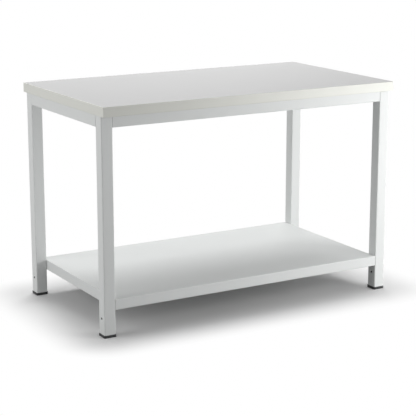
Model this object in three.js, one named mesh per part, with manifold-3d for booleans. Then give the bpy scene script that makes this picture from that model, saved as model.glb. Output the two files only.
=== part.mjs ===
// Assembly table: a laminated worktop on a square tube frame, with a folded sheet shelf near the floor.
// Millimetres, +Z up, +X along the long side to the right, the front edge towards -Y.
// The origin is on the floor, under the middle of the worktop.

import * as THREE from 'three';
import { mergeVertices } from 'three/addons/utils/BufferGeometryUtils.js';
import Module from 'manifold-3d';

const wasm = await Module();
wasm.setup();

// Whole table
const TABLE_LENGTH = 1250;
const TABLE_DEPTH = 700;
const TABLE_HEIGHT = 840;
const END_OVERHANG = 2;
const FRONT_OVERHANG = 24;

// Worktop
const TOP_THICKNESS = 36;
const LAMINATE = 0.8;
const EDGE_BAND = 2;
const EDGE_ROUND = 1.5;
const TOP_CORNER_ROUND = 2;

// Legs of square tube, with a cross hole near the floor
const LEG_SIDE = 45;
const LEG_WALL = 2;
const LEG_ROUND = 4;
const CROSS_HOLE = 9;
const CROSS_HOLE_HEIGHT = 69;

// Rails of rectangular tube under the worktop
const RAIL_HEIGHT = 42;
const RAIL_DEPTH = 25;
const RAIL_WALL = 2;
const RAIL_ROUND = 2.5;

// Plates in the corners of the rails, and the screws through them into the worktop
const PLATE_THICKNESS = 4;
const PLATE_REACH = 110;
const PLATE_END = 35;
const SCREW_FROM_END = 40;
const SCREW_FROM_RAIL = 30;
const SCREW_SHANK = 4.5;
const SCREW_COVER = 10;
const SCREW_POINT = 5;
const SCREW_HEAD = 10;
const SCREW_HEAD_HEIGHT = 3.2;
const SCREW_HEAD_ROUND = 1.2;

// Lower shelf, folded from sheet, with its stiffener
const SHELF_TOP = 140;
const SHELF_LIP = 40;
const SHELF_SHEET = 1.5;
const SHELF_BEND = 2.5;
const SHELF_RETURN = 15;
const STIFFENER_WIDTH = 60;
const STIFFENER_HEIGHT = 26;
const STIFFENER_FLANGE = 18;
const STIFFENER_END_GAP = 12;

// Bolts that hold the shelf to the legs
const BOLT_SHANK = 6;
const BOLT_REACH = 10;
const BOLT_FLATS = 10;
const BOLT_HEAD_HEIGHT = 4.5;
const BOLT_FLANGE = 14;
const BOLT_FLANGE_HEIGHT = 1.5;

// Feet: a sole plate with a ribbed plug in the tube
const FOOT_HEIGHT = 10;
const FOOT_LIP = 2;
const FOOT_EDGE_ROUND = 1;
const PLUG_DEPTH = 26;
const PLUG_WALL = 2.5;
const PLUG_RIB = 2;
const PLUG_RIB_COUNT = 3;
const PLUG_RIB_REACH = 1.5;

// Clearances
const FIT_GAP = 0.3;
const LEG_NOTCH_GAP = 0.5;

// Fineness of the round faces
const ARC_STEPS = 2;
const HIDDEN_ARC_STEPS = 1;
const BEVEL_STEPS = 3;
const ROUND_SIDES = 16;
const HEX_SIDES = 6;
const WELD_TOLERANCE = 1e-4;

// Places that follow from the sizes above
const UNDER_TOP = TABLE_HEIGHT - TOP_THICKNESS;
const LEG_OUTER_X = TABLE_LENGTH / 2 - END_OVERHANG;
const LEG_OUTER_Y = TABLE_DEPTH / 2 - FRONT_OVERHANG;
const LEG_INNER_X = LEG_OUTER_X - LEG_SIDE;
const LEG_INNER_Y = LEG_OUTER_Y - LEG_SIDE;
const LEG_X = LEG_OUTER_X - LEG_SIDE / 2;
const LEG_Y = LEG_OUTER_Y - LEG_SIDE / 2;
const RAIL_INNER_X = LEG_OUTER_X - RAIL_DEPTH;
const RAIL_INNER_Y = LEG_OUTER_Y - RAIL_DEPTH;
const SHELF_BOTTOM = SHELF_TOP - SHELF_LIP;
const SHELF_BOLT_Z = SHELF_TOP - SHELF_LIP / 2;
const BAND_ROUND = Math.min(EDGE_ROUND, EDGE_BAND, TOP_CORNER_ROUND - FIT_GAP);
const SCREW_BITE = TOP_THICKNESS - SCREW_COVER;
const BOLT_GRIP = SHELF_SHEET + LEG_WALL + BOLT_REACH;

const CORNERS = [
  { at: 'front_left', sx: -1, sy: -1 },
  { at: 'front_right', sx: 1, sy: -1 },
  { at: 'rear_left', sx: -1, sy: 1 },
  { at: 'rear_right', sx: 1, sy: 1 },
];

// Finishes
function finish(color, roughness, metalness) {
  return new THREE.MeshStandardMaterial({ color, roughness, metalness });
}

const FINISHES = {
  laminate: finish(0xd9dad9, 0.45, 0),
  edging: finish(0xd8d9d0, 0.4, 0),
  chipboard: finish(0xb59a72, 0.9, 0),
  paint: finish(0xd3d6d5, 0.38, 0.1),
  rubber: finish(0x1d1e1f, 0.7, 0),
  zinc: finish(0xb9bdc2, 0.35, 0.9),
};

// Turns that swap whole axes: CYCLE takes Z to X and Y to Z, CYCLE_BACK takes Y to X and Z to Y
const CYCLE = new THREE.Matrix4().set(0, 0, 1, 0, 1, 0, 0, 0, 0, 1, 0, 0, 0, 0, 0, 1);
const CYCLE_BACK = new THREE.Matrix4().set(0, 1, 0, 0, 0, 0, 1, 0, 1, 0, 0, 0, 0, 0, 0, 1);

const table = new THREE.Group();

function place(name, geometry, material, x = 0, y = 0, z = 0) {
  const mesh = new THREE.Mesh(geometry, material);
  mesh.name = name;
  mesh.position.set(x, y, z);
  table.add(mesh);
  return mesh;
}

// Solids that are cut and joined
function toSolid(geometry) {
  const bare = geometry.clone();
  bare.deleteAttribute('normal');
  bare.deleteAttribute('uv');
  const welded = mergeVertices(bare, WELD_TOLERANCE);
  const vertProperties = welded.attributes.position.array;
  const triVerts = new Uint32Array(welded.index.array);
  return new wasm.Manifold(new wasm.Mesh({ numProp: 3, vertProperties, triVerts }));
}

function toGeometry(solid) {
  const { vertProperties, triVerts } = solid.getMesh();
  const geometry = new THREE.BufferGeometry();
  geometry.setAttribute('position', new THREE.BufferAttribute(vertProperties, 3));
  geometry.setIndex(new THREE.BufferAttribute(triVerts, 1));
  geometry.computeVertexNormals();
  return geometry;
}

function cut(geometry, tools) {
  const left = tools.reduce((solid, tool) => solid.subtract(toSolid(tool)), toSolid(geometry));
  return toGeometry(left);
}

function join(geometries) {
  const [first, ...rest] = geometries.map(toSolid);
  return toGeometry(rest.reduce((solid, next) => solid.add(next), first));
}

// Outlines
function roundedRectangle(width, height, radius, outline = new THREE.Shape()) {
  const x = width / 2 - radius;
  const y = height / 2 - radius;
  outline.absarc(x, -y, radius, -Math.PI / 2, 0);
  outline.absarc(x, y, radius, 0, Math.PI / 2);
  outline.absarc(-x, y, radius, Math.PI / 2, Math.PI);
  outline.absarc(-x, -y, radius, Math.PI, 1.5 * Math.PI);
  outline.closePath();
  return outline;
}

function rectangle(width, height) {
  const x = width / 2;
  const y = height / 2;
  return polygon([[-x, -y], [x, -y], [x, y], [-x, y]]);
}

function polygon(points) {
  return new THREE.Shape(points.map(([x, y]) => new THREE.Vector2(x, y)));
}

function extrude(outline, length, curveSegments = ARC_STEPS) {
  return new THREE.ExtrudeGeometry(outline, { depth: length, bevelEnabled: false, curveSegments });
}

// A block with its upper and lower edges rounded, standing on z = 0
function softBlock(outline, height, round) {
  const block = new THREE.ExtrudeGeometry(outline, {
    depth: height - 2 * round,
    bevelThickness: round,
    bevelSize: round,
    bevelOffset: -round,
    bevelSegments: BEVEL_STEPS,
    curveSegments: ARC_STEPS,
  });
  return block.translate(0, 0, round);
}

function tubeOutline(width, height, wall, round) {
  const outline = roundedRectangle(width, height, round);
  const boreRound = Math.max(round - wall, FIT_GAP);
  outline.holes.push(roundedRectangle(width - 2 * wall, height - 2 * wall, boreRound, new THREE.Path()));
  return outline;
}

function rod(diameter, length, sides = ROUND_SIDES) {
  return new THREE.CylinderGeometry(diameter / 2, diameter / 2, length, sides);
}

function rodAlongX(diameter, length) {
  return rod(diameter, length).applyMatrix4(CYCLE_BACK);
}

function rodAlongZ(diameter, length) {
  return rod(diameter, length).applyMatrix4(CYCLE);
}

// Screw places in one corner plate, one along each rail
function screwPlaces({ sx, sy }) {
  const along = PLATE_REACH - SCREW_FROM_END;
  return [
    [sx * (LEG_INNER_X - along), sy * (RAIL_INNER_Y - SCREW_FROM_RAIL)],
    [sx * (RAIL_INNER_X - SCREW_FROM_RAIL), sy * (LEG_INNER_Y - along)],
  ];
}

// Holes up into the worktop for all the screws, from the face of the plates
function screwHoles() {
  const depth = SCREW_BITE + FIT_GAP;
  return CORNERS.flatMap(screwPlaces).map(([x, y]) => {
    const hole = rodAlongZ(SCREW_SHANK + 2 * FIT_GAP, 2 * depth);
    return hole.translate(x, y, UNDER_TOP);
  });
}

// Worktop: chipboard between two laminates, with a band on each edge
function buildWorktop() {
  const boardLength = TABLE_LENGTH - 2 * EDGE_BAND;
  const boardDepth = TABLE_DEPTH - 2 * EDGE_BAND;
  const coreHeight = TOP_THICKNESS - 2 * LAMINATE;
  const coreMiddle = UNDER_TOP + TOP_THICKNESS / 2;
  const holes = screwHoles();

  const core = new THREE.BoxGeometry(boardLength, boardDepth, coreHeight).translate(0, 0, coreMiddle);
  place('worktop_core', cut(core, holes), FINISHES.chipboard);

  const sheet = new THREE.BoxGeometry(boardLength, boardDepth, LAMINATE);
  place('top_laminate', sheet, FINISHES.laminate, 0, 0, TABLE_HEIGHT - LAMINATE / 2);
  const backing = sheet.clone().translate(0, 0, UNDER_TOP + LAMINATE / 2);
  place('backing_laminate', cut(backing, holes), FINISHES.laminate);

  const outline = roundedRectangle(TABLE_LENGTH, TABLE_DEPTH, TOP_CORNER_ROUND);
  const softTop = toSolid(softBlock(outline, TOP_THICKNESS, BAND_ROUND).translate(0, 0, UNDER_TOP));
  const bands = [
    { edge: 'front', size: [TABLE_LENGTH, EDGE_BAND], x: 0, y: -(TABLE_DEPTH - EDGE_BAND) / 2 },
    { edge: 'rear', size: [TABLE_LENGTH, EDGE_BAND], x: 0, y: (TABLE_DEPTH - EDGE_BAND) / 2 },
    { edge: 'left', size: [EDGE_BAND, boardDepth], x: -(TABLE_LENGTH - EDGE_BAND) / 2, y: 0 },
    { edge: 'right', size: [EDGE_BAND, boardDepth], x: (TABLE_LENGTH - EDGE_BAND) / 2, y: 0 },
  ];
  for (const { edge, size, x, y } of bands) {
    const strip = new THREE.BoxGeometry(...size, TOP_THICKNESS).translate(x, y, coreMiddle);
    place(`edge_band_${edge}`, toGeometry(toSolid(strip).intersect(softTop)), FINISHES.edging);
  }
}

// Legs: tube from the foot to the worktop, drilled for the cross hole and for the shelf bolt
function buildLegs() {
  const length = UNDER_TOP - FOOT_HEIGHT;
  const tube = extrude(tubeOutline(LEG_SIDE, LEG_SIDE, LEG_WALL, LEG_ROUND), length);
  const crossHole = rodAlongX(CROSS_HOLE, 2 * LEG_SIDE).translate(0, 0, CROSS_HOLE_HEIGHT - FOOT_HEIGHT);
  const boltHole = rodAlongX(BOLT_SHANK + 2 * FIT_GAP, LEG_SIDE);
  for (const { at, sx, sy } of CORNERS) {
    const inward = boltHole.clone().translate(-sx * LEG_SIDE / 2, 0, SHELF_BOLT_Z - FOOT_HEIGHT);
    const drilled = cut(tube, [crossHole, inward]);
    place(`leg_${at}`, drilled, FINISHES.paint, sx * LEG_X, sy * LEG_Y, FOOT_HEIGHT);
  }
}

// Feet: a sole a little wider than the leg, and a hollow plug whose ribs grip the bore
function buildFeet() {
  const soleSide = LEG_SIDE + 2 * FOOT_LIP;
  const ribSide = LEG_SIDE - 2 * LEG_WALL - 2 * FIT_GAP;
  const plugSide = ribSide - 2 * PLUG_RIB_REACH;
  const boreRound = Math.max(LEG_ROUND - LEG_WALL, FIT_GAP) + FIT_GAP;
  const softEdge = Math.min(FOOT_EDGE_ROUND, FOOT_LIP);

  const sole = softBlock(roundedRectangle(soleSide, soleSide, LEG_ROUND + FOOT_LIP), FOOT_HEIGHT, softEdge);
  const plugOutline = tubeOutline(plugSide, plugSide, PLUG_WALL, boreRound);
  const plug = extrude(plugOutline, PLUG_DEPTH + FOOT_HEIGHT / 2, HIDDEN_ARC_STEPS);
  const ribOutline = tubeOutline(ribSide, ribSide, PLUG_RIB_REACH + PLUG_WALL / 2, boreRound);
  const rib = extrude(ribOutline, PLUG_RIB, HIDDEN_ARC_STEPS);
  const ribStep = (PLUG_DEPTH - PLUG_RIB) / PLUG_RIB_COUNT;
  const ribs = Array.from({ length: PLUG_RIB_COUNT }, (_, i) => {
    return rib.clone().translate(0, 0, FOOT_HEIGHT + (i + 1) * ribStep);
  });
  const foot = join([sole, plug.translate(0, 0, FOOT_HEIGHT / 2), ...ribs]);
  for (const { at, sx, sy } of CORNERS) {
    place(`foot_${at}`, foot, FINISHES.rubber, sx * LEG_X, sy * LEG_Y);
  }
}

// Rails: rectangular tube between the legs, flush with their outer faces and up against the worktop
function buildRails() {
  const z = UNDER_TOP - RAIL_HEIGHT / 2;
  const middleX = LEG_OUTER_X - RAIL_DEPTH / 2;
  const middleY = LEG_OUTER_Y - RAIL_DEPTH / 2;

  const longOutline = tubeOutline(RAIL_DEPTH, RAIL_HEIGHT, RAIL_WALL, RAIL_ROUND);
  const long = extrude(longOutline, 2 * LEG_INNER_X).applyMatrix4(CYCLE);
  long.translate(-LEG_INNER_X, 0, 0);
  place('rail_front', long, FINISHES.paint, 0, -middleY, z);
  place('rail_rear', long, FINISHES.paint, 0, middleY, z);

  const shortOutline = tubeOutline(RAIL_HEIGHT, RAIL_DEPTH, RAIL_WALL, RAIL_ROUND);
  const short = extrude(shortOutline, 2 * LEG_INNER_Y).applyMatrix4(CYCLE_BACK);
  short.translate(0, -LEG_INNER_Y, 0);
  place('rail_left', short, FINISHES.paint, -middleX, 0, z);
  place('rail_right', short, FINISHES.paint, middleX, 0, z);
}

// Corner plates: notched round the leg, welded to both rails, level with their tops
function buildCornerPlates() {
  const toRailX = RAIL_INNER_X - LEG_INNER_X;
  const toRailY = RAIL_INNER_Y - LEG_INNER_Y;
  const notch = -LEG_NOTCH_GAP;
  const z = UNDER_TOP - PLATE_THICKNESS;
  for (const corner of CORNERS) {
    const { sx, sy } = corner;
    const points = [
      [notch, notch],
      [notch, toRailY],
      [-PLATE_REACH, toRailY],
      [-PLATE_REACH, toRailY - PLATE_END],
      [toRailX - PLATE_END, -PLATE_REACH],
      [toRailX, -PLATE_REACH],
      [toRailX, notch],
    ];
    const outline = polygon(points.map(([x, y]) => [sx * (LEG_INNER_X + x), sy * (LEG_INNER_Y + y)]));
    for (const [x, y] of screwPlaces(corner)) {
      const hole = new THREE.Path();
      hole.absarc(x, y, SCREW_SHANK / 2 + FIT_GAP, 0, 2 * Math.PI);
      outline.holes.push(hole);
    }
    const plate = extrude(outline, PLATE_THICKNESS, ROUND_SIDES / 2);
    place(`corner_plate_${corner.at}`, plate, FINISHES.paint, 0, 0, z);
  }
}

// Screws: a pan head under the plate and a pointed shank up into the worktop
function buildScrews() {
  const head = SCREW_HEAD / 2;
  const shank = SCREW_SHANK / 2;
  const tip = PLATE_THICKNESS + SCREW_BITE;
  const profile = [
    [0, -SCREW_HEAD_HEIGHT],
    [head - SCREW_HEAD_ROUND, -SCREW_HEAD_HEIGHT],
    [head, -SCREW_HEAD_HEIGHT + SCREW_HEAD_ROUND],
    [head, 0],
    [shank, 0],
    [shank, tip - SCREW_POINT],
    [0, tip],
  ];
  const points = profile.map(([x, y]) => new THREE.Vector2(x, y));
  const screw = new THREE.LatheGeometry(points, ROUND_SIDES).applyMatrix4(CYCLE);
  for (const corner of CORNERS) {
    screwPlaces(corner).forEach(([x, y], i) => {
      const name = `worktop_screw_${corner.at}_${i + 1}`;
      place(name, screw, FINISHES.zinc, x, y, UNDER_TOP - PLATE_THICKNESS);
    });
  }
}

// Shelf: one sheet with its lips folded down on all sides and turned in underneath
function buildShelf() {
  const length = 2 * LEG_INNER_X;
  const depth = 2 * LEG_OUTER_Y;
  const inner = SHELF_SHEET;
  const innerBend = Math.max(SHELF_BEND - SHELF_SHEET, FIT_GAP);
  const tray = softBlock(rectangle(length, depth), SHELF_LIP, SHELF_BEND).translate(0, 0, SHELF_BOTTOM);
  const room = softBlock(
    rectangle(length - 2 * inner, depth - 2 * inner),
    SHELF_LIP - 2 * inner,
    innerBend,
  ).translate(0, 0, SHELF_BOTTOM + inner);
  const mouth = new THREE.BoxGeometry(length - 2 * SHELF_RETURN, depth - 2 * SHELF_RETURN, SHELF_LIP);
  const boltHoles = CORNERS.map(({ sx, sy }) => {
    const hole = rodAlongX(BOLT_SHANK + 2 * FIT_GAP, 4 * SHELF_SHEET);
    return hole.translate(sx * LEG_INNER_X, sy * LEG_Y, SHELF_BOLT_Z);
  });
  const shelf = cut(tray, [room, mouth.translate(0, 0, SHELF_BOTTOM), ...boltHoles]);
  place('lower_shelf', shelf, FINISHES.paint);
}

// Stiffener: a hat section spot welded under the shelf, along its middle
function buildStiffener() {
  const length = 2 * (LEG_INNER_X - SHELF_SHEET - STIFFENER_END_GAP);
  const web = STIFFENER_WIDTH / 2;
  const rim = web + STIFFENER_FLANGE;
  const outline = polygon([
    [-rim, 0],
    [-web + SHELF_SHEET, 0],
    [-web + SHELF_SHEET, -STIFFENER_HEIGHT + SHELF_SHEET],
    [web - SHELF_SHEET, -STIFFENER_HEIGHT + SHELF_SHEET],
    [web - SHELF_SHEET, 0],
    [rim, 0],
    [rim, -SHELF_SHEET],
    [web, -SHELF_SHEET],
    [web, -STIFFENER_HEIGHT],
    [-web, -STIFFENER_HEIGHT],
    [-web, -SHELF_SHEET],
    [-rim, -SHELF_SHEET],
  ]);
  const hat = extrude(outline, length).applyMatrix4(CYCLE);
  place('shelf_stiffener', hat, FINISHES.paint, -length / 2, 0, SHELF_TOP - SHELF_SHEET);
}

// Shelf bolts: hex head with a flange, inside the lip, with the shank out into the leg
function buildShelfBolts() {
  const acrossCorners = (2 * BOLT_FLATS) / Math.sqrt(3);
  const flange = rod(BOLT_FLANGE, BOLT_FLANGE_HEIGHT).translate(0, -BOLT_FLANGE_HEIGHT / 2, 0);
  const head = rod(acrossCorners, BOLT_HEAD_HEIGHT, HEX_SIDES).translate(0, -BOLT_HEAD_HEIGHT / 2, 0);
  const shankLength = BOLT_GRIP + BOLT_FLANGE_HEIGHT;
  const shank = rod(BOLT_SHANK, shankLength).translate(0, BOLT_GRIP - shankLength / 2, 0);
  const bolt = join([flange, head, shank]).applyMatrix4(CYCLE_BACK);
  for (const { at, sx, sy } of CORNERS) {
    const mesh = place(`shelf_bolt_${at}`, bolt, FINISHES.zinc);
    mesh.position.set(sx * (LEG_INNER_X - SHELF_SHEET), sy * LEG_Y, SHELF_BOLT_Z);
    mesh.rotation.z = sx > 0 ? 0 : Math.PI;
  }
}

buildWorktop();
buildLegs();
buildFeet();
buildRails();
buildCornerPlates();
buildScrews();
buildShelf();
buildStiffener();
buildShelfBolts();

export default table;
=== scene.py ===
"""Assembly table: laminated worktop, painted steel frame and a folded sheet shelf near the floor.

Every piece is a surface worked out with numpy in metres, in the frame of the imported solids: a flat
loop of points carried along an axis, a profile carried round a path, or a profile turned on an axis.
"""

import math
from typing import NamedTuple

import bmesh
import bpy
import numpy as np
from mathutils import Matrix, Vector


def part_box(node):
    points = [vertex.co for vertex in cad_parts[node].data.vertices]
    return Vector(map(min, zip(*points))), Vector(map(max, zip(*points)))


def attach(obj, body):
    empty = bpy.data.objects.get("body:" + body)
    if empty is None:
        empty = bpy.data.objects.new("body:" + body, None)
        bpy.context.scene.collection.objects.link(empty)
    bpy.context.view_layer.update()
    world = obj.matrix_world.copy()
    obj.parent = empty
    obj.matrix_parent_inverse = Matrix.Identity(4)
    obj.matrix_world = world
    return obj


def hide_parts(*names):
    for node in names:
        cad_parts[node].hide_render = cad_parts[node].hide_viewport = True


bl_info = {
    "name": "Assembly table",
    "version": (1, 0, 0),
    "blender": (4, 5, 0),
    "location": "View3D > Sidebar > Table",
    "description": "Builds an assembly table piece by piece, with its finishes and a plain studio",
    "category": "Add Mesh",
}

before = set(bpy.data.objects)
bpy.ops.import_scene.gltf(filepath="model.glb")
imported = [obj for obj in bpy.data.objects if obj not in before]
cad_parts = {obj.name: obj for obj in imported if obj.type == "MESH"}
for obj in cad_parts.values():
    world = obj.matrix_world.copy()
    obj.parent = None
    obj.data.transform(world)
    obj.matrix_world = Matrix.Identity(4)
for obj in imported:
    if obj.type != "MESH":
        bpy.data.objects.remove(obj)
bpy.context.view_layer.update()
BODY = "root"

# Names of the places round the table
CORNERS = ("front_left", "front_right", "rear_left", "rear_right")
SIDES = ("front", "rear", "left", "right")
X, Y, Z = range(3)

# Fineness of the surfaces: straight steps in a quarter circle, and sides of a full one
CORNER_STEPS = 6
BEND_STEPS = 6
EDGE_STEPS = 4
HOLE_SIDES = 40
ROUND_SIDES = 48

# From the end of a round to one more point on the flat beside it, which keeps that flat's shading flat
HOLD = 0.0008

# Points in the same small cube become one, and the offset keeps round sizes off the cubes' sides
WELD = 1e-6
WELD_OFFSET = 0.37

# A fold sharper than this shows as an edge
SHARP_ANGLE = math.radians(38)


def node_box(name):
    """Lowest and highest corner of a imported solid, as two arrays in metres."""
    low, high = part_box(name)
    return np.array(low), np.array(high)


# Sizes and colours that a user would change


def length(name, description, default):
    """A size in metres."""
    return bpy.props.FloatProperty(
        name=name, description=description, default=default, min=0.0, precision=4, unit="LENGTH"
    )


def colour(name, description, default):
    """A linear colour."""
    return bpy.props.FloatVectorProperty(
        name=name, description=description, default=default, size=3, min=0.0, max=1.0, subtype="COLOR"
    )


def share(name, description, default):
    """A number from 0 to 1."""
    return bpy.props.FloatProperty(
        name=name, description=description, default=default, min=0.0, max=1.0, subtype="FACTOR"
    )


# Thicknesses that show between the boxes of two neighbours
SHEET_BY_FRAME = float(node_box("lower_shelf")[1][Z] - node_box("shelf_stiffener")[1][Z])
BAND_BY_FRAME = float(node_box("top_laminate")[0][X] - node_box("edge_band_left")[0][X])


class TableSizes(bpy.types.PropertyGroup):
    """Walls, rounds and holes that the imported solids' boxes don't give."""

    band_thickness: length("Edge band", "Thickness of the plastic band", BAND_BY_FRAME)
    band_round: length("Band round", "Round on the long edges of the band", 0.0015)
    leg_wall: length("Leg wall", "Wall of the legs' square tube", 0.002)
    leg_round: length("Leg round", "Outer corner round of the legs' tube", 0.004)
    hole_radius: length("Cross hole radius", "Half the cross hole's diameter", 0.0045)
    hole_height: length("Cross hole height", "Middle of the cross hole above the floor", 0.069)
    hole_edge: length("Hole edge", "Round that the paint leaves on a hole's edge", 0.0003)
    rail_wall: length("Rail wall", "Wall of the rails' tube", 0.002)
    rail_round: length("Rail round", "Outer corner round of the rails' tube", 0.0025)
    sheet: length("Sheet", "Thickness of the shelf's sheet", SHEET_BY_FRAME)
    shelf_bend: length("Shelf bend", "Outer radius of the shelf's folds", 0.0025)
    shelf_return: length("Shelf return", "Width of the strip turned in under the lip", 0.015)
    stiffener_flange: length("Stiffener flange", "Width of the stiffener's welded flange", 0.018)
    foot_height: length("Foot height", "Height of the sole under the tube", 0.010)
    foot_edge: length("Foot edge", "Round on the sole's edges", 0.001)
    plug_wall: length("Plug wall", "Wall of the plug inside the tube", 0.0025)
    plug_rib: length("Plug rib", "Height of each rib round the plug", 0.002)
    rib_reach: length("Rib reach", "How far a rib stands out from the plug", 0.0015)
    fit_gap: length("Fit gap", "Clearance between the ribs and the tube", 0.0003)
    screw_shank: length("Screw shank", "Half the diameter of a worktop screw", 0.00225)
    screw_head: length("Screw head", "Height of a worktop screw's head", 0.0032)
    screw_point: length("Screw point", "Length of a worktop screw's point", 0.005)
    bolt_shank: length("Bolt shank", "Half the diameter of a shelf bolt", 0.003)
    bolt_flats: length("Bolt flats", "Half the width across a bolt head's flats", 0.005)
    bolt_head: length("Bolt head", "Height of a bolt head with its flange", 0.0045)
    bolt_flange: length("Bolt flange", "Height of the flange under a bolt head", 0.0015)


class TableColours(bpy.types.PropertyGroup):
    """Linear colours of the finishes."""

    laminate: colour("Laminate", "Light grey top sheet", (0.512, 0.512, 0.512))
    edging: colour("Edge band", "Warm light grey plastic", (0.744, 0.749, 0.701))
    chipboard: colour("Chipboard", "Pressed wood between the sheets", (0.462, 0.323, 0.168))
    paint: colour("Frame paint", "Cool light grey powder coat", (0.748, 0.764, 0.757))
    # Near black: the bare steel's own colour, darkened further as painted shade for the dark inside of the
    # tubes and holes
    steel: colour("Bare steel", "Inside of the tubes and of drilled holes", (0.035, 0.034, 0.033))
    foot: colour("Foot", "Black moulded plastic", (0.012, 0.013, 0.014))
    zinc: colour("Zinc", "Plated screws and bolts", (0.485, 0.509, 0.539))


class StudioSettings(bpy.types.PropertyGroup):
    """Floor, ambient light and camera."""

    floor: colour("Floor", "Pale floor, as it throws light back on the table", (0.40, 0.40, 0.40))
    floor_lift: bpy.props.FloatProperty(
        name="Floor lift",
        description="How many times paler the floor is where it is seen directly",
        default=2.01,
        min=1.0,
    )
    floor_reach: length("Floor reach", "From the table's middle to the floor's edge", 30.0)
    fade_start: length("Fade start", "How far outside the legs the floor starts to turn white", 0.0)
    fade_end: length("Fade end", "How far outside the legs the floor is plain white", 0.22)
    ambient: share("Ambient", "Strength of the even light from all round", 0.335)
    camera_place: bpy.props.FloatVectorProperty(
        name="Camera place",
        description="Where the camera stands",
        default=(-2.6312, -4.4915, 1.5821),
        subtype="TRANSLATION",
    )
    camera_turn: bpy.props.FloatProperty(
        name="Camera turn",
        description="Turn to the right, from looking straight at the front",
        default=math.radians(30.32),
        unit="ROTATION",
    )
    camera_tilt: bpy.props.FloatProperty(
        name="Camera tilt",
        description="Tilt down from level",
        default=math.radians(13.43),
        unit="ROTATION",
    )
    camera_lens: bpy.props.FloatProperty(
        name="Camera lens",
        description="Focal length on a 36 mm sensor",
        default=117.23,
        unit="CAMERA",
    )


class TableSettings(bpy.types.PropertyGroup):
    """All the settings of the table and its studio."""

    sizes: bpy.props.PointerProperty(name="Sizes", description="Sizes of the pieces", type=TableSizes)
    colours: bpy.props.PointerProperty(name="Colours", description="Finishes", type=TableColours)
    studio: bpy.props.PointerProperty(name="Studio", description="Light and view", type=StudioSettings)


def settings():
    """The settings that the sidebar shows."""
    return bpy.context.scene.assembly_table


# Surfaces as arrays of points and faces


class Patch(NamedTuple):
    """Points of a surface, and its faces as arrays: those of the finished skin and of a bare lining."""

    points: np.ndarray
    skin: list
    lining: tuple = ()


def grid_faces(rows, columns, wrap_rows=False, wrap_columns=True):
    """Four-cornered faces between neighbours of a grid whose points are numbered row by row.

    A wrapped direction also joins its last line to its first.
    """
    row = np.arange(rows if wrap_rows else rows - 1)
    column = np.arange(columns if wrap_columns else columns - 1)
    i, j = np.meshgrid(row, column, indexing="ij")
    next_i = (i + 1) % rows
    next_j = (j + 1) % columns
    corners = [i * columns + j, i * columns + next_j, next_i * columns + next_j, next_i * columns + j]
    return np.stack(corners, -1).reshape(-1, 4)


def end_faces(rows, columns):
    """One flat face over the first row of a grid and one over its last."""
    first = np.arange(columns)[None, :]
    return [first, first + (rows - 1) * columns]


def lay(points, axis):
    """Points (u, v, along), turned in cyclic order so that the third number runs along an axis."""
    return np.roll(points, axis + 1, axis=-1)


def rounded_loop(half_u, half_v, radius):
    """A rounded rectangle about the origin, counter-clockwise, as points (u, v).

    Each corner is a quarter circle of the radius about a point that lies the radius inside both
    sides. One more point on the flat on each side of the circle keeps the flat's shading flat.
    """
    turn = np.linspace(0, math.pi / 2, CORNER_STEPS + 1)
    corner = np.concatenate([[radius - 1j * HOLD], radius * np.exp(1j * turn), [-HOLD + 1j * radius]])
    a = half_u - radius
    b = half_v - radius
    middles = np.array([a + 1j * b, -a + 1j * b, -a - 1j * b, a - 1j * b])
    quarters = 1j ** np.arange(4)
    loop = (middles[:, None] + quarters[:, None] * corner[None, :]).ravel()
    return np.stack([loop.real, loop.imag], -1)


def loft(loops, places):
    """Points of loops (u, v) set one after another at their places along the third axis."""
    rows = [np.column_stack([loop, np.full(len(loop), place)]) for loop, place in zip(loops, places)]
    return np.concatenate(rows)


def arc(middle, radius, start, end, steps=BEND_STEPS):
    """Points of a circle about a middle, from a start angle to an end angle in degrees."""
    angle = np.radians(np.linspace(start, end, steps + 1))
    return np.array(middle) + radius * np.column_stack([np.cos(angle), np.sin(angle)])


def turned(radii, places):
    """Points of a profile turned about the third axis: rows of (radius at each angle, place).

    A row of radii is one number, for a circle, or one number for each angle.
    """
    angle = np.linspace(0, 2 * math.pi, ROUND_SIDES, endpoint=False)
    around = np.stack([np.cos(angle), np.sin(angle)], -1)
    rows = np.stack([np.broadcast_to(radius, angle.shape) for radius in radii])
    flat = rows[:, :, None] * around[None, :, :]
    height = np.broadcast_to(np.array(places)[:, None, None], (*rows.shape, 1))
    return np.concatenate([flat, height], -1).reshape(-1, 3)


def weld(patches):
    """The points, skin and lining of joined patches, with one point where several fall together."""
    points = np.concatenate([patch.points for patch in patches])
    starts = np.cumsum([0] + [len(patch.points) for patch in patches])
    cells = np.floor(points / WELD + WELD_OFFSET).astype(np.int64)
    _, first, place = np.unique(cells, axis=0, return_index=True, return_inverse=True)
    place = place.ravel()
    skin = [place[face + start] for patch, start in zip(patches, starts) for face in patch.skin]
    lining = [place[face + start] for patch, start in zip(patches, starts) for face in patch.lining]
    return points[first], skin, lining


def face_corners(faces):
    """The corners of all faces in one row, and how many each face has.

    A corner that fell together with the one before it goes, and so does a face with fewer than three.
    """
    corners = []
    counts = []
    for face in faces:
        kept = face != np.roll(face, 1, axis=1)
        kept[kept.sum(1) < 3] = False
        corners.append(face[kept])
        counts.append(kept.sum(1)[kept.any(1)])
    return np.concatenate(corners), np.concatenate(counts)


def check_closed(name, corners, starts, counts):
    """Stops with an error unless each edge of the surface lies between exactly two faces."""
    following = np.roll(corners, -1)
    following[starts + counts - 1] = corners[starts]
    edges = np.sort(np.stack([corners, following], -1), axis=1)
    _, uses = np.unique(edges, axis=0, return_counts=True)
    if np.any(uses != 2):
        raise RuntimeError(f"{name} is not a closed surface: {np.sum(uses != 2)} open edges")


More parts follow.
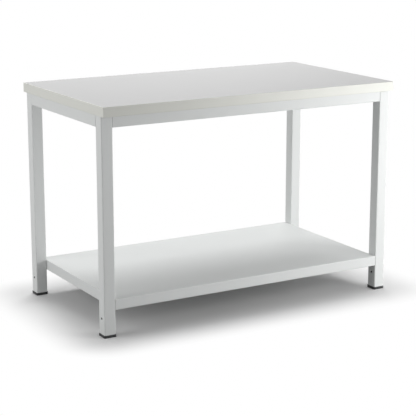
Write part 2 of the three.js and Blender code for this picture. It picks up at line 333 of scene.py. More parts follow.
def new_mesh(name, patches, closed=True):
    """A mesh of welded patches, with faces pointing outwards and only its sharp edges left sharp."""
    points, skin, lining = weld(patches)
    corners, counts = face_corners(skin + lining)
    starts = np.concatenate([[0], np.cumsum(counts)[:-1]])
    lined = np.arange(len(counts)) >= len(face_corners(skin)[1])
    if closed:
        check_closed(name, corners, starts, counts)
    mesh = bpy.data.meshes.new(name)
    mesh.vertices.add(len(points))
    mesh.vertices.foreach_set("co", points.astype(np.float32).ravel())
    mesh.loops.add(len(corners))
    mesh.loops.foreach_set("vertex_index", corners.astype(np.int32))
    mesh.polygons.add(len(counts))
    mesh.polygons.foreach_set("loop_start", starts.astype(np.int32))
    mesh.polygons.foreach_set("use_smooth", np.ones(len(counts), dtype=bool))
    mesh.polygons.foreach_set("material_index", lined.astype(np.int32))
    mesh.update(calc_edges=True)
    if closed:
        turn_outwards(mesh)
    mesh.set_sharp_from_angle(angle=SHARP_ANGLE)
    return mesh


def turn_outwards(mesh):
    """Makes the faces of one closed surface agree, and point away from its inside."""
    editor = bmesh.new()
    editor.from_mesh(mesh)
    bmesh.ops.recalc_face_normals(editor, faces=editor.faces)
    if editor.calc_volume(signed=True) < 0:
        bmesh.ops.reverse_faces(editor, faces=editor.faces)
    editor.to_mesh(mesh)
    editor.free()


def add_piece(name, patches, finishes, node):
    """Adds a piece of the table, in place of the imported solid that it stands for.

    The first finish is the skin's, and a second one the lining's.
    """
    piece = bpy.data.objects.new(name, new_mesh(name, patches))
    for finish in finishes:
        piece.data.materials.append(finish)
    bpy.context.scene.collection.objects.link(piece)
    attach(piece, BODY)
    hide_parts(node)
    return piece


def finish_solid(node, finish):
    """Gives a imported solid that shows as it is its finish."""
    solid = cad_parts[node]
    solid.material_slots[0].material = finish


# Shader nodes


# Sockets of a Mix node that blends colours, and the colour that it gives
MIX_FACTOR, MIX_FIRST, MIX_SECOND, MIX_RESULT = 0, 6, 7, 2

# How much of its strength each finer layer of a noise keeps
NOISE_KEEPS = 0.55

WHITE = (1.0, 1.0, 1.0, 1.0)


def shade(base, factor):
    """A colour made lighter or darker, as four numbers for a socket."""
    return (*(min(1.0, channel * factor) for channel in base), 1.0)


class Socket:
    """A shader output that takes part in Python sums. Each operator adds one Math node."""

    def __init__(self, tree, output):
        self.tree = tree
        self.output = output

    def math_node(self, operation, first, second):
        """What a Math node gives for two sockets, or for a socket and a number."""
        return self.tree.make("ShaderNodeMath", {"operation": operation}, {0: first, 1: second})

    def __add__(self, other):
        return self.math_node("ADD", self, other)

    def __radd__(self, other):
        return self.math_node("ADD", other, self)

    def __sub__(self, other):
        return self.math_node("SUBTRACT", self, other)

    def __rsub__(self, other):
        return self.math_node("SUBTRACT", other, self)

    def __mul__(self, other):
        return self.math_node("MULTIPLY", self, other)

    def __rmul__(self, other):
        return self.math_node("MULTIPLY", other, self)


class Tree:
    """The shader nodes of one finish, or of the world."""

    def __init__(self, owner):
        owner.use_nodes = True
        self.nodes = owner.node_tree.nodes
        self.links = owner.node_tree.links
        self.nodes.clear()

    def make(self, kind, options=None, inputs=None, output=0):
        """A new node: its options are set first, then its sockets are given values or links."""
        node = self.nodes.new(kind)
        for name, value in (options or {}).items():
            setattr(node, name, value)
        for name, value in (inputs or {}).items():
            if isinstance(value, Socket):
                self.links.new(value.output, node.inputs[name])
            else:
                node.inputs[name].default_value = value
        return Socket(self, node.outputs[output]) if node.outputs else None

    def place(self, stretch=(1, 1, 1)):
        """The point on the object, in metres, stretched along its axes."""
        point = self.make("ShaderNodeTexCoord", output="Object")
        if tuple(stretch) == (1, 1, 1):
            return point
        return self.make("ShaderNodeMapping", inputs={"Vector": point, "Scale": stretch})

    def noise(self, point, per_metre, detail=2.0):
        """Cloudy noise from about 0 to 1, with so many blots in a metre."""
        values = {"Vector": point, "Scale": per_metre, "Detail": detail, "Roughness": NOISE_KEEPS}
        return self.make("ShaderNodeTexNoise", inputs=values)

    def cells(self, point, per_metre, output="Distance"):
        """Distance to the nearest of scattered points, or that point's own colour."""
        values = {"Vector": point, "Scale": per_metre}
        return self.make("ShaderNodeTexVoronoi", inputs=values, output=output)

    def ramp(self, value, start, end):
        """0 up to start, 1 from end on, and an S-shaped rise between them."""
        values = {"Value": value, "From Min": start, "From Max": end}
        return self.make("ShaderNodeMapRange", {"interpolation_type": "SMOOTHSTEP"}, values)

    def mix(self, factor, first, second):
        """One colour turning into another as the factor goes from 0 to 1."""
        values = {MIX_FACTOR: factor, MIX_FIRST: first, MIX_SECOND: second}
        return self.make("ShaderNodeMix", {"data_type": "RGBA"}, values, MIX_RESULT)

    def tones(self, factor, base, first, second):
        """One multiple of a base colour turning into another as the factor goes from 0 to 1."""
        return self.mix(factor, shade(base, first), shade(base, second))

    def bump(self, height, depth):
        """The surface's direction, tilted by a height in units of depth metres."""
        values = {"Height": height, "Distance": depth, "Strength": 1.0}
        return self.make("ShaderNodeBump", inputs=values)

    def surface(self, **inputs):
        """The finished surface shader, joined to the output. Names of sockets have _ for a space."""
        named = {name.replace("_", " "): value for name, value in inputs.items()}
        shader = self.make("ShaderNodeBsdfPrincipled", inputs=named)
        self.make("ShaderNodeOutputMaterial", inputs={"Surface": shader})


def new_finish(name):
    """An empty material and the tree for its nodes."""
    material = bpy.data.materials.new(name)
    return material, Tree(material)


# Finishes


def powder_coat():
    """Satin powder coat: a slow drift in tone, fine specks, and the soft ripple of an orange's skin."""
    base = settings().colours.paint
    material, tree = new_finish("light_grey_powder_coat")
    point = tree.place()
    drift = tree.noise(point, per_metre=4.0)
    ripple = tree.noise(point, per_metre=380.0, detail=1.0)
    specks = tree.noise(point, per_metre=1700.0, detail=1.0)
    tree.surface(
        Base_Color=tree.tones(0.65 * drift + 0.35 * specks, base, first=0.965, second=1.035),
        Roughness=0.47 + 0.10 * drift + 0.06 * specks,
        Specular_IOR_Level=0.42,
        Normal=tree.bump(0.8 * ripple + 0.2 * specks, depth=0.00005),
    )
    return material


def bare_steel_painted_shade():
    """Bare steel inside the tubes and on the holes' walls: unpainted steel made near black as painted
    shade for the dark in the tubes and holes, with browner blots and fine drawing lines.
    """
    base = settings().colours.steel
    material, tree = new_finish("bare_steel_with_painted_shade")
    blots = tree.noise(tree.place(), per_metre=120.0, detail=4.0)
    lines = tree.noise(tree.place(stretch=(700.0, 700.0, 20.0)), per_metre=1.0)
    tree.surface(
        Base_Color=tree.tones(0.7 * blots + 0.3 * lines, base, first=0.7, second=1.4),
        Metallic=0.5,
        Roughness=0.45 + 0.25 * blots,
        Normal=tree.bump(lines, depth=0.00002),
    )
    return material


def laminate():
    """Matt laminate: a very fine pearled press, with a faint drift in its tone."""
    base = settings().colours.laminate
    material, tree = new_finish("light_grey_laminate")
    point = tree.place()
    drift = tree.noise(point, per_metre=3.0)
    pearls = tree.cells(point, per_metre=900.0)
    specks = tree.noise(point, per_metre=2200.0, detail=1.0)
    tree.surface(
        Base_Color=tree.tones(0.5 * drift + 0.5 * specks, base, first=0.98, second=1.02),
        Roughness=0.46 + 0.08 * drift + 0.05 * specks,
        Specular_IOR_Level=0.4,
        Normal=tree.bump(pearls, depth=0.00003),
    )
    return material


def edging():
    """Plastic band: satin, with fine streaks along its length from the die."""
    base = settings().colours.edging
    material, tree = new_finish("warm_grey_edge_band")
    streaks = tree.noise(tree.place(stretch=(2.0, 2.0, 900.0)), per_metre=1.0)
    grain = tree.noise(tree.place(), per_metre=1300.0, detail=1.0)
    tree.surface(
        Base_Color=tree.tones(0.6 * streaks + 0.4 * grain, base, first=0.975, second=1.025),
        Roughness=0.44 + 0.10 * streaks + 0.05 * grain,
        Specular_IOR_Level=0.45,
        Normal=tree.bump(0.7 * streaks + 0.3 * grain, depth=0.00002),
    )
    return material


def chipboard():
    """Pressed wood: flat chips of several browns, each with its own tone, and gaps between them."""
    base = settings().colours.chipboard
    material, tree = new_finish("raw_chipboard")
    point = tree.place(stretch=(1.0, 1.0, 2.2))
    chips_per_metre = 260.0
    scatter = tree.cells(point, chips_per_metre, output="Color")
    chip = tree.make("ShaderNodeSeparateColor", inputs={"Color": scatter})
    gap = tree.cells(point, chips_per_metre)
    fibre = tree.noise(tree.place(stretch=(1.0, 1.0, 4.0)), per_metre=700.0)
    tree.surface(
        Base_Color=tree.tones(0.6 * chip + 0.4 * fibre, base, first=0.6, second=1.35),
        Roughness=0.75 + 0.15 * fibre,
        Normal=tree.bump(1 - gap, depth=0.0004),
    )
    return material


def foot_plastic():
    """Black moulded plastic: the small pebbled grain of an eroded mould, greyer on its high spots."""
    base = settings().colours.foot
    material, tree = new_finish("black_moulded_plastic")
    point = tree.place()
    pebbles = tree.cells(point, per_metre=1100.0)
    scuffs = tree.ramp(tree.noise(point, per_metre=90.0, detail=4.0), start=0.52, end=0.72)
    tree.surface(
        Base_Color=tree.tones(0.5 * scuffs + 0.5 * pebbles, base, first=0.8, second=2.6),
        Roughness=0.48 + 0.16 * scuffs,
        Normal=tree.bump(1 - pebbles, depth=0.00008),
    )
    return material


def zinc():
    """Bright zinc plate: metal with a cloudy bloom and fine turning marks."""
    base = settings().colours.zinc
    material, tree = new_finish("zinc_plate")
    bloom = tree.noise(tree.place(), per_metre=260.0, detail=3.0)
    marks = tree.noise(tree.place(stretch=(300.0, 300.0, 6000.0)), per_metre=1.0)
    tree.surface(
        Base_Color=tree.tones(bloom, base, first=0.86, second=1.14),
        Metallic=1.0,
        Roughness=0.24 + 0.22 * bloom,
        Normal=tree.bump(marks, depth=0.00001),
    )
    return material


def finish_named(make):
    """The finish that a function makes, made once and shared by all its pieces."""
    key = "finish_" + make.__name__
    made = bpy.data.materials.get(bpy.context.scene.get(key, ""))
    if made is None:
        made = make()
        bpy.context.scene[key] = made.name
    return made


# Worktop


def band_profile(thickness, edge, bottom, top):
    """Section of an edge band as points (out, height): flat inside, quarter circles on its outer edges."""
    lower = arc((thickness - edge, bottom + edge), edge, -90, 0)
    upper = arc((thickness - edge, top - edge), edge, 0, 90)
    return np.concatenate(
        [
            [(0, top), (0, bottom)],
            lower,
            [(thickness, bottom + edge + HOLD), (thickness, top - edge - HOLD)],
            upper,
        ]
    )


def band_patches(side):
    """An edge band: its section carried along its side of the board.

    The front and rear bands also turn a quarter circle about the board's corner at both ends.
    """
    sizes = settings().sizes
    board_low, board_high = node_box("worktop_core")
    low, high = node_box(f"edge_band_{side}")
    profile = band_profile(sizes.band_thickness, sizes.band_round, low[Z], high[Z])
    half = (board_high - board_low) / 2
    outward = {"front": -90, "rear": 90, "left": 180, "right": 0}[side]
    if side in ("front", "rear"):
        bend = np.linspace(0, 90, CORNER_STEPS + 1)
        angle = np.concatenate([outward - 90 + bend, outward + bend])
        along = np.repeat([-half[X], half[X]], len(bend))
        out = half[Y]
    else:
        angle = np.array([outward, outward])
        along = np.array([-half[Y], half[Y]])
        out = half[X]
    facing = math.radians(outward)
    face = np.array([math.cos(facing), math.sin(facing)])
    run = np.array([-math.sin(facing), math.cos(facing)])
    middle = out * face + along[:, None] * run
    turn = np.radians(angle)
    push = np.stack([np.cos(turn), np.sin(turn)], -1)
    flat = middle[:, None, :] + profile[None, :, :1] * push[:, None, :]
    height = np.broadcast_to(profile[None, :, 1:], (*flat.shape[:2], 1))
    points = np.concatenate([flat, height], -1).reshape(-1, 3)
    rows = len(angle)
    columns = len(profile)
    return [Patch(points, [grid_faces(rows, columns), *end_faces(rows, columns)])]


class TABLE_OT_worktop(bpy.types.Operator):
    """Adds the edge bands, and finishes the board and its two laminates"""

    bl_idname = "assembly_table.worktop"
    bl_label = "Worktop"

    def execute(self, context):
        finish_solid("worktop_core", finish_named(chipboard))
        for sheet in ("top_laminate", "backing_laminate"):
            finish_solid(sheet, finish_named(laminate))
        finishes = [finish_named(edging)]
        for side in SIDES:
            node = f"edge_band_{side}"
            add_piece(f"worktop_band_{side}", band_patches(side), finishes, node)
        return {"FINISHED"}


# Legs, rails and corner plates


class Hole(NamedTuple):
    """A round hole in a leg's wall: which way the wall faces along X, its height and its radius."""

    facing: int
    height: float
    radius: float


def hole_patch(hole, half, wall, reach, edge):
    """The square of a leg's wall round a hole, outside and inside, and the hole's own wall.

    Rows of points go from the square's corners to the hole's soft outer edge, through the wall and
    out to the square's corners again. On the edge's quarter circle the radius shrinks with the sine
    of the turn, and the depth grows with one less its cosine.
    """
    angle = np.linspace(0, 2 * math.pi, HOLE_SIDES, endpoint=False)
    quarter = np.floor(angle / (math.pi / 2)) * math.pi / 2 + math.pi / 4
    corners = math.sqrt(2) * reach * np.stack([np.cos(quarter), np.sin(quarter)], -1)
    around = np.stack([np.cos(angle), np.sin(angle)], -1)
    turn = np.linspace(0, math.pi / 2, EDGE_STEPS + 1)
    radii = np.append(hole.radius + edge * (1 - np.sin(turn)), hole.radius)
    depths = np.append(edge * (1 - np.cos(turn)), wall)
    loops = [corners, *(radius * around for radius in radii), corners]
    places = [0, *depths, wall]
    points = loft(loops, places)
    sideways = points[:, 0]
    height = points[:, 1] + hole.height
    out = hole.facing * (half - points[:, 2])
    faces = grid_faces(len(loops), HOLE_SIDES)
    # The hole's wall and the wall's inside take the second finish: bare steel made near black as painted
    # shade in the hole
    painted = (EDGE_STEPS + 1) * HOLE_SIDES
    return Patch(np.column_stack([out, sideways, height]), [faces[:painted]], (faces[painted:],))


def leg_patches(corner):
    """A leg: a rounded square carried up as the outer wall and down again as the inner one.

    The faces of the grid where a hole goes are left out, and the hole's patch takes their place. A
    loop's last face lies on its +X side, and the one half way round to it on its -X side.
    """
    sizes = settings().sizes
    low, high = node_box(f"leg_{corner}")
    bolt_low, bolt_high = node_box(f"shelf_bolt_{corner}")
    middle = (low + high) / 2
    half = float(high[X] - low[X]) / 2
    inward = 1 if middle[X] < 0 else -1
    bolt_height = float(bolt_low[Z] + bolt_high[Z]) / 2
    holes = [
        Hole(-1, sizes.hole_height, sizes.hole_radius),
        Hole(1, sizes.hole_height, sizes.hole_radius),
        Hole(inward, bolt_height, sizes.bolt_shank + sizes.fit_gap),
    ]
    outer = rounded_loop(half, half, sizes.leg_round)
    inner = rounded_loop(half - sizes.leg_wall, half - sizes.leg_wall, sizes.leg_round - sizes.leg_wall)
    reach = half - sizes.leg_round - HOLD
    square_ends = [hole.height + way * reach for hole in holes for way in (-1, 1)]
    heights = sorted({low[Z], high[Z], *square_ends})
    up = len(heights)
    columns = len(outer)
    points = loft([outer] * up + [inner] * up, heights + heights[::-1])
    faces = grid_faces(2 * up, columns, wrap_rows=True)
    kept = np.ones((2 * up, columns), dtype=bool)
    patches = []
    for hole in holes:
        row = heights.index(hole.height - reach)
        column = columns - 1 if hole.facing > 0 else columns // 2 - 1
        kept[[row, 2 * up - 2 - row], column] = False
        patches.append(hole_patch(hole, half, sizes.leg_wall, reach, sizes.hole_edge))
    outside = np.arange(2 * up)[:, None] < up - 1
    skin = (kept & outside).ravel()
    lining = (kept & ~outside).ravel()
    patches.append(Patch(points, [faces[skin]], (faces[lining],)))
    place = np.array([middle[X], middle[Y], 0])
    return [patch._replace(points=patch.points + place) for patch in patches]


class TABLE_OT_legs(bpy.types.Operator):
    """Adds the four legs of square tube, with their cross holes"""

    bl_idname = "assembly_table.legs"
    bl_label = "Legs"

    def execute(self, context):
        # The second finish, on the tubes' insides and the holes' walls, is bare steel made near black as
        # painted shade
        finishes = [finish_named(powder_coat), finish_named(bare_steel_painted_shade)]
        for corner in CORNERS:
            node = f"leg_{corner}"
            add_piece(f"leg_tube_{corner}", leg_patches(corner), finishes, node)
        return {"FINISHED"}


def rail_patches(side):
    """A rail: a rounded rectangle carried along as its outer wall and back as its inner one.

    Its cut ends are painted with the outside, and the inside is bare.
    """
    sizes = settings().sizes
    low, high = node_box(f"rail_{side}")
    middle = (low + high) / 2
    half = (high - low) / 2
    axis = X if side in ("front", "rear") else Y
    half_u = half[(axis + 1) % 3]
    half_v = half[(axis + 2) % 3]
    wall = sizes.rail_wall
    outer = rounded_loop(half_u, half_v, sizes.rail_round)
    inner = rounded_loop(half_u - wall, half_v - wall, sizes.rail_round - wall)
    ends = [-half[axis], half[axis], half[axis], -half[axis]]
    points = lay(loft([outer, outer, inner, inner], ends), axis) + middle
    outside, far_end, inside, near_end = np.split(grid_faces(4, len(outer), wrap_rows=True), 4)
    return [Patch(points, [outside, far_end, near_end], (inside,))]


class TABLE_OT_rails(bpy.types.Operator):
    """Adds the four rails under the worktop, and finishes the plates in their corners"""

    bl_idname = "assembly_table.rails"
    bl_label = "Rails"

    def execute(self, context):
        # The second finish, on the tubes' insides, is bare steel made near black as painted shade
        finishes = [finish_named(powder_coat), finish_named(bare_steel_painted_shade)]
        for side in SIDES:
            node = f"rail_{side}"
            add_piece(f"rail_tube_{side}", rail_patches(side), finishes, node)
        for corner in CORNERS:
            finish_solid(f"corner_plate_{corner}", finish_named(powder_coat))
        return {"FINISHED"}


# Shelf


def tray_profile(top, bottom, sheet, bend, turn_in):
    """Section of the folded sheet as points (in from the lip's face, height).

    It runs from the deck's top over two bends, each a quarter circle, to the end of the strip turned
    in, and back along the inside to the deck.
    """
    upper = (bend, top - bend)
    lower = (bend, bottom + bend)
    inside = bend - sheet
    return np.concatenate(
        [
            [(bend + HOLD, top)],
            arc(upper, bend, 90, 180),
            [(0, top - bend - HOLD), (0, bottom + bend + HOLD)],
            arc(lower, bend, 180, 270),
            [(bend + HOLD, bottom), (turn_in, bottom), (turn_in, bottom + sheet)],
            [(bend + HOLD, bottom + sheet)],
            arc(lower, inside, 270, 180),
            [(sheet, bottom + bend + HOLD), (sheet, top - bend - HOLD)],
            arc(upper, inside, 180, 90),
            [(bend + HOLD, top - sheet)],
        ]
    )


def tray_patches():
    """The shelf: its section carried round a rectangle with mitred corners, and the deck across it."""
    sizes = settings().sizes
    low, high = node_box("lower_shelf")
    half = (high - low) / 2
    profile = tray_profile(high[Z], low[Z], sizes.sheet, sizes.shelf_bend, sizes.shelf_return)
    signs = np.array([(1, 1), (-1, 1), (-1, -1), (1, -1)])
    flat = signs[None, :, :] * (half[None, None, :2] - profile[:, None, :1])
    height = np.broadcast_to(profile[:, None, 1:], (*flat.shape[:2], 1))
    points = np.concatenate([flat, height], -1).reshape(-1, 3)
    rows = len(profile)
    return [Patch(points, [grid_faces(rows, len(signs)), *end_faces(rows, len(signs))])]


def hat_line(rim, web, height, round_in, round_out):
    """Half section of a hat as points (out, height).

    It runs along the flange, round a quarter circle, down the web, round another quarter circle and
    along the hat's bottom to the middle.
    """
    return np.concatenate(
        [
            [(rim, 0), (web + round_in + HOLD, 0)],
            arc((web + round_in, -round_in), round_in, 90, 180),
            [(web, -round_in - HOLD), (web, -height + round_out + HOLD)],
            arc((web - round_out, -height + round_out), round_out, 0, -90),
            [(web - round_out - HOLD, -height), (0, -height)],
        ]
    )


def stiffener_patches():
    """The stiffener: a hat section of bent sheet, with a ring of four points for each place on it.

    The four are on its inner and its outer skin, at both ends of its length.
    """
    sizes = settings().sizes
    low, high = node_box("shelf_stiffener")
    rim = float(high[Y])
    web = rim - sizes.stiffener_flange
    height = float(high[Z] - low[Z])
    sheet = sizes.sheet
    bend = sizes.shelf_bend
    inner = hat_line(rim, web - sheet, height - sheet, bend, bend - sheet)
    outer = hat_line(rim, web, height - sheet, bend - sheet, bend) - (0, sheet)
    skins = [np.concatenate([line, line[-2::-1] * (-1, 1)]) for line in (inner, outer)]
    ring = [(skins[0], low[X]), (skins[0], high[X]), (skins[1], high[X]), (skins[1], low[X])]
    columns = [np.column_stack([np.full(len(skin), end), skin]) for skin, end in ring]
    points = np.stack(columns, 1).reshape(-1, 3) + (0, 0, high[Z])
    rows = len(inner) * 2 - 1
    return [Patch(points, [grid_faces(rows, len(ring)), *end_faces(rows, len(ring))])]


class TABLE_OT_shelf(bpy.types.Operator):
    """Adds the lower shelf and the stiffener under it"""

    bl_idname = "assembly_table.shelf"
    bl_label = "Shelf"

    def execute(self, context):
        finishes = [finish_named(powder_coat)]
        add_piece("shelf_tray", tray_patches(), finishes, "lower_shelf")
        add_piece("shelf_hat", stiffener_patches(), finishes, "shelf_stiffener")
        return {"FINISHED"}


# Feet


RIB_COUNT = 3


def foot_patches(corner):
    """A foot: rounded squares stacked from the sole's underside up, and down again inside its plug.

    They follow the quarter circles of the sole's edges and the ribs of the plug that sits in the tube.
    """
    sizes = settings().sizes
    leg_low, leg_high = node_box(f"leg_{corner}")
    low, high = node_box(f"foot_{corner}")
    middle = (low + high) / 2
    leg = float(leg_high[X] - leg_low[X]) / 2
    sole = float(high[X] - low[X]) / 2
    sole_round = sizes.leg_round + sole - leg
    edge = sizes.foot_edge
    bottom = float(low[Z])
    top = bottom + sizes.foot_height
    rib = leg - sizes.leg_wall - sizes.fit_gap
    plug = rib - sizes.rib_reach
    bore = plug - sizes.plug_wall
    plug_round = sizes.leg_round - sizes.leg_wall + sizes.fit_gap
    step = (float(high[Z]) - top - sizes.plug_rib) / RIB_COUNT
    lower = arc((sole - edge, bottom + edge), edge, -90, 0, EDGE_STEPS)
    upper = arc((sole - edge, top - edge), edge, 0, 90, EDGE_STEPS)
    rows = [(sole - edge - HOLD, bottom), *lower, *upper, (plug, top)]
    for count in range(1, RIB_COUNT + 1):
        start = top + count * step
        end = start + sizes.plug_rib
        rows += [(plug, start), (rib, start), (rib, end), (plug, end)]
    rows += [(bore, rows[-1][1]), (bore, top)]
    loops = [rounded_loop(half, half, sole_round if half > rib else plug_round) for half, _ in rows]
    points = loft(loops, [height for _, height in rows]) + (middle[X], middle[Y], 0)
    columns = len(loops[0])
    return [Patch(points, [grid_faces(len(rows), columns), *end_faces(len(rows), columns)])]


class TABLE_OT_feet(bpy.types.Operator):
    """Adds the four black feet"""

    bl_idname = "assembly_table.feet"
    bl_label = "Feet"

    def execute(self, context):
        finishes = [finish_named(foot_plastic)]
        for corner in CORNERS:
            node = f"foot_{corner}"
            add_piece(f"foot_plug_{corner}", foot_patches(corner), finishes, node)
        return {"FINISHED"}


# Screws and bolts


# The cross in a screw's head: its arms, its depth, and how softly their sides and ends drop
CROSS_REACH = 0.0028
CROSS_HALF = 0.0006
CROSS_DEPTH = 0.0018
CROSS_SIDE_SOFT = 0.000075
CROSS_END_SOFT = 0.00015

# The dome of a screw's head: its rings, how much of the head's height it takes, and its curve
HEAD_RINGS = 14
DOME_SHARE = 0.55
DOME_POWER = 3

# The turn from one flat of a bolt's head to the next
HEX_TURN = math.pi / 3

# Its chamfer and its end face, as shares of half the width across flats
CHAMFER_SHARE = 1.02
FACE_SHARE = 0.9

# The height of a bolt's small edges, as a share of its flange's height
EDGE_SHARE = 0.25


def soft_step(distance, edge, soft):
    """1 well short of the edge and 0 well past it.

    It is one over the sum of one and e to the power of the way past the edge, in units of soft.
    """
    return 1 / (1 + np.exp((distance - edge) / soft))


def screw_patches(node):
    """A worktop screw: a domed head with a cross sunk into it, a shank and a point, turned on its axis.

    The dome's drop goes with a power of the radius. The cross is a product of two soft steps: near
    either arm's middle line, and within its reach.
    """
    sizes = settings().sizes
    low, high = node_box(node)
    middle = (low + high) / 2
    head = float(high[X] - low[X]) / 2
    seat = float(low[Z]) + sizes.screw_head
    across = np.linspace(0, 1, HEAD_RINGS) * head
    dome = float(low[Z]) + sizes.screw_head * DOME_SHARE * (across / head) ** DOME_POWER
    radii = [*across, head, sizes.screw_shank, sizes.screw_shank, 0]
    places = [*dome, seat, seat, float(high[Z]) - sizes.screw_point, float(high[Z])]
    points = turned(radii, places)
    on_head = np.repeat(np.arange(len(radii)) < HEAD_RINGS, ROUND_SIDES)
    side = np.abs(points[:, :2])
    near = soft_step(side.min(1), CROSS_HALF, CROSS_SIDE_SOFT)
    within = soft_step(side.max(1), CROSS_REACH, CROSS_END_SOFT)
    points[:, Z] += on_head * CROSS_DEPTH * near * within
    points += (middle[X], middle[Y], 0)
    return [Patch(points, [grid_faces(len(radii), ROUND_SIDES)])]


def bolt_patches(node):
    """A shelf bolt: hex head with a chamfer, a flange and a shank, turned on an axis along X.

    A hexagon's radius is half its width across flats over the cosine of the angle from the nearest
    flat's middle, and the chamfer keeps the lesser of that and a circle.
    """
    sizes = settings().sizes
    low, high = node_box(node)
    middle = (low + high) / 2
    out = 1 if middle[X] > 0 else -1
    flange = float(high[Y] - low[Y]) / 2
    tip = float(high[X] - low[X])
    angle = np.linspace(0, 2 * math.pi, ROUND_SIDES, endpoint=False)
    from_flat = np.mod(angle, HEX_TURN) - HEX_TURN / 2
    hexagon = sizes.bolt_flats / np.cos(from_flat)
    chamfer = np.minimum(hexagon, sizes.bolt_flats * CHAMFER_SHARE)
    head = sizes.bolt_head
    shank = sizes.bolt_shank
    rise = sizes.bolt_flange
    edge = rise * EDGE_SHARE
    section = [
        (0, 0),
        (sizes.bolt_flats * FACE_SHARE, 0),
        (chamfer, edge),
        (hexagon, 2 * edge),
        (hexagon, head - rise),
        (flange - edge, head - rise / 2),
        (flange, head - edge),
        (flange, head),
        (shank, head),
        (shank, tip - edge),
        (shank - edge, tip),
        (0, tip),
    ]
    radii, places = zip(*section)
    points = lay(turned(radii, places), X)
    start = low[X] if out > 0 else high[X]
    points = points * (out, 1, 1) + (start, middle[Y], middle[Z])
    return [Patch(points, [grid_faces(len(radii), ROUND_SIDES)])]


class TABLE_OT_fasteners(bpy.types.Operator):
    """Adds the worktop screws and the shelf bolts"""

    bl_idname = "assembly_table.fasteners"
    bl_label = "Screws and bolts"

    def execute(self, context):
        finishes = [finish_named(zinc)]
        for corner in CORNERS:
            bolt = f"shelf_bolt_{corner}"
            add_piece(f"hex_bolt_{corner}", bolt_patches(bolt), finishes, bolt)
            for number in (1, 2):
                place = f"{corner}_{number}"
                screw = f"worktop_screw_{place}"
                add_piece(f"cross_screw_{place}", screw_patches(screw), finishes, screw)
        return {"FINISHED"}


# Studio


class Lamp(NamedTuple):
    """A soft area lamp: where it is, what it points at, its two sides and its power."""

    name: str
    place: tuple
    aim: tuple
    size: tuple
    watts: float


LAMPS = (
    Lamp("rear_lamp", (0.3, 1.5, 2.7), (0.2, 0.3, 0.3), (2.4, 0.8), 46.0),
    Lamp("upper_right_lamp", (1.7, 0.2, 2.6), (0.4, 0.0, 0.4), (1.4, 1.4), 6.7),
    Lamp("left_lamp", (-3.0, 0.2, 1.5), (0.0, 0.0, 0.5), (1.8, 1.8), 24.0),
    Lamp("low_left_lamp", (-3.0, 0.2, 0.5), (0.0, 0.0, 0.5), (1.8, 0.8), 5.0),
    Lamp("front_right_lamp", (1.2, -1.7, 0.85), (0.4, -0.3, 0.45), (0.8, 0.7), 10.8),
    Lamp("low_front_right_lamp", (2.0, -2.0, 0.35), (0.3, -0.3, 0.45), (1.2, 0.6), 19.5),
    Lamp("right_lamp", (2.3, -0.9, 0.45), (0.4, -0.3, 0.45), (1.0, 0.8), 11.2),
)


def add_lamp(lamp):
    """Adds one soft lamp, turned to what it points at."""
    data = bpy.data.lights.new(lamp.name, "AREA")
    data.shape = "RECTANGLE"
    data.size, data.size_y = lamp.size
    data.energy = lamp.watts
    light = bpy.data.objects.new(lamp.name, data)
    light.location = lamp.place
    light.rotation_euler = (Vector(lamp.aim) - Vector(lamp.place)).to_track_quat("-Z", "Y").to_euler()
    bpy.context.scene.collection.objects.link(light)


def seen_directly(tree):
    """1 for what the camera sees, also in a mirror or through glass, and 0 for light on other things."""
    camera = tree.make("ShaderNodeLightPath", output="Is Camera Ray")
    glossy = tree.make("ShaderNodeLightPath", output="Is Glossy Ray")
    through = tree.make("ShaderNodeLightPath", output="Is Transmission Ray")
    return camera + glossy + through


def floor_finish():
    """Pale matt floor that takes the table's shadow, and turns plain white away from the table.

    The way from the legs' rectangle is the length of the larger of 0 and |point| less half its sides.
    From below the floor is clear, so that the underside of the table shows.
    """
    studio = settings().studio
    material, tree = new_finish("pale_floor")
    half = (*node_box("leg_rear_right")[1][:2], 0.0)
    size = tree.make("ShaderNodeVectorMath", {"operation": "ABSOLUTE"}, {0: tree.place()})
    past = tree.make("ShaderNodeVectorMath", {"operation": "SUBTRACT"}, {0: size, 1: half})
    outside = tree.make("ShaderNodeVectorMath", {"operation": "MAXIMUM"}, {0: past, 1: (0.0, 0.0, 0.0)})
    away = tree.make("ShaderNodeVectorMath", {"operation": "LENGTH"}, {0: outside}, "Value")
    fade = tree.ramp(away, studio.fade_start, studio.fade_end)
    seen = seen_directly(tree)
    tone = tree.tones(seen, studio.floor, first=1.0, second=studio.floor_lift)
    matt = tree.make("ShaderNodeBsdfDiffuse", inputs={"Color": tone})
    white = tree.make("ShaderNodeEmission", inputs={"Color": WHITE, "Strength": 1.0})
    mixed = tree.make("ShaderNodeMixShader", inputs={0: fade * seen, 1: matt, 2: white})
    from_below = tree.make("ShaderNodeNewGeometry", output="Backfacing")
    clear = tree.make("ShaderNodeBsdfTransparent")
    one_sided = tree.make("ShaderNodeMixShader", inputs={0: from_below, 1: mixed, 2: clear})
    tree.make("ShaderNodeOutputMaterial", inputs={"Surface": one_sided})
    return material


def add_floor():
    """Adds the floor, a flat square under the feet."""
    reach = settings().studio.floor_reach
    points = np.array([(-reach, -reach, 0), (reach, -reach, 0), (reach, reach, 0), (-reach, reach, 0)])
    square = Patch(points, [np.arange(4)[None, :]])
    floor = bpy.data.objects.new("floor", new_mesh("floor", [square], closed=False))
    floor.data.materials.append(floor_finish())
    bpy.context.scene.collection.objects.link(floor)


def set_world():
    """White where it is seen directly, and an even grey light on the table."""
    studio = settings().studio
    world = bpy.data.worlds.new("studio_world")
    tree = Tree(world)
    seen = seen_directly(tree)
    strength = studio.ambient + (1 - studio.ambient) * seen
    light = tree.make("ShaderNodeBackground", inputs={"Color": WHITE, "Strength": strength})
    tree.make("ShaderNodeOutputWorld", inputs={"Surface": light})
    bpy.context.scene.world = world


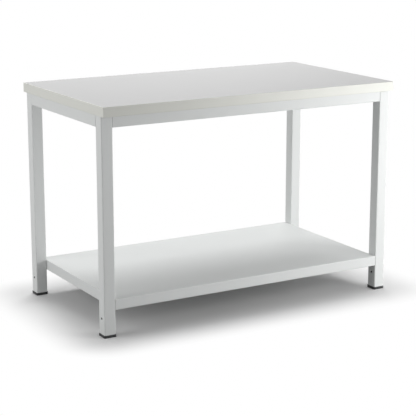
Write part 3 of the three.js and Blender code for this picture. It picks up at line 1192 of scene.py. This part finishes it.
def add_camera():
    """Adds the camera at the photograph's place and makes it the scene's own."""
    studio = settings().studio
    data = bpy.data.cameras.new("table_camera")
    data.lens = studio.camera_lens
    camera = bpy.data.objects.new("table_camera", data)
    camera.location = studio.camera_place
    camera.rotation_euler = (math.pi / 2 - studio.camera_tilt, 0.0, -studio.camera_turn)
    bpy.context.scene.collection.objects.link(camera)
    bpy.context.scene.camera = camera


class TABLE_OT_stage(bpy.types.Operator):
    """Adds the floor, the lamps, the world's light and the camera"""

    bl_idname = "assembly_table.stage"
    bl_label = "Studio"

    def execute(self, context):
        context.scene.view_settings.view_transform = "Standard"
        add_floor()
        set_world()
        for lamp in LAMPS:
            add_lamp(lamp)
        add_camera()
        return {"FINISHED"}


# Sidebar and start


OPERATORS = (
    TABLE_OT_worktop,
    TABLE_OT_legs,
    TABLE_OT_rails,
    TABLE_OT_shelf,
    TABLE_OT_feet,
    TABLE_OT_fasteners,
    TABLE_OT_stage,
)


class TABLE_PT_sidebar(bpy.types.Panel):
    """Lists the pieces of the table and their settings"""

    bl_idname = "TABLE_PT_sidebar"
    bl_label = "Assembly table"
    bl_space_type = "VIEW_3D"
    bl_region_type = "UI"
    bl_category = "Table"

    def draw(self, context):
        for operator in OPERATORS:
            self.layout.operator(operator.bl_idname)
        table = context.scene.assembly_table
        for group in (table.sizes, table.colours, table.studio):
            box = self.layout.box()
            for name in group.__annotations__:
                box.prop(group, name)


CLASSES = (TableSizes, TableColours, StudioSettings, TableSettings, *OPERATORS, TABLE_PT_sidebar)


def register():
    """Makes the classes and the scene's settings known."""
    for each in CLASSES:
        bpy.utils.register_class(each)
    bpy.types.Scene.assembly_table = bpy.props.PointerProperty(type=TableSettings)


def unregister():
    """Takes away what register added."""
    del bpy.types.Scene.assembly_table
    for each in reversed(CLASSES):
        bpy.utils.unregister_class(each)


def main():
    """Builds the table and its studio."""
    register()
    bpy.ops.assembly_table.stage()
    bpy.ops.assembly_table.worktop()
    bpy.ops.assembly_table.legs()
    bpy.ops.assembly_table.rails()
    bpy.ops.assembly_table.shelf()
    bpy.ops.assembly_table.feet()
    bpy.ops.assembly_table.fasteners()


if __name__ == "__main__":
    main()
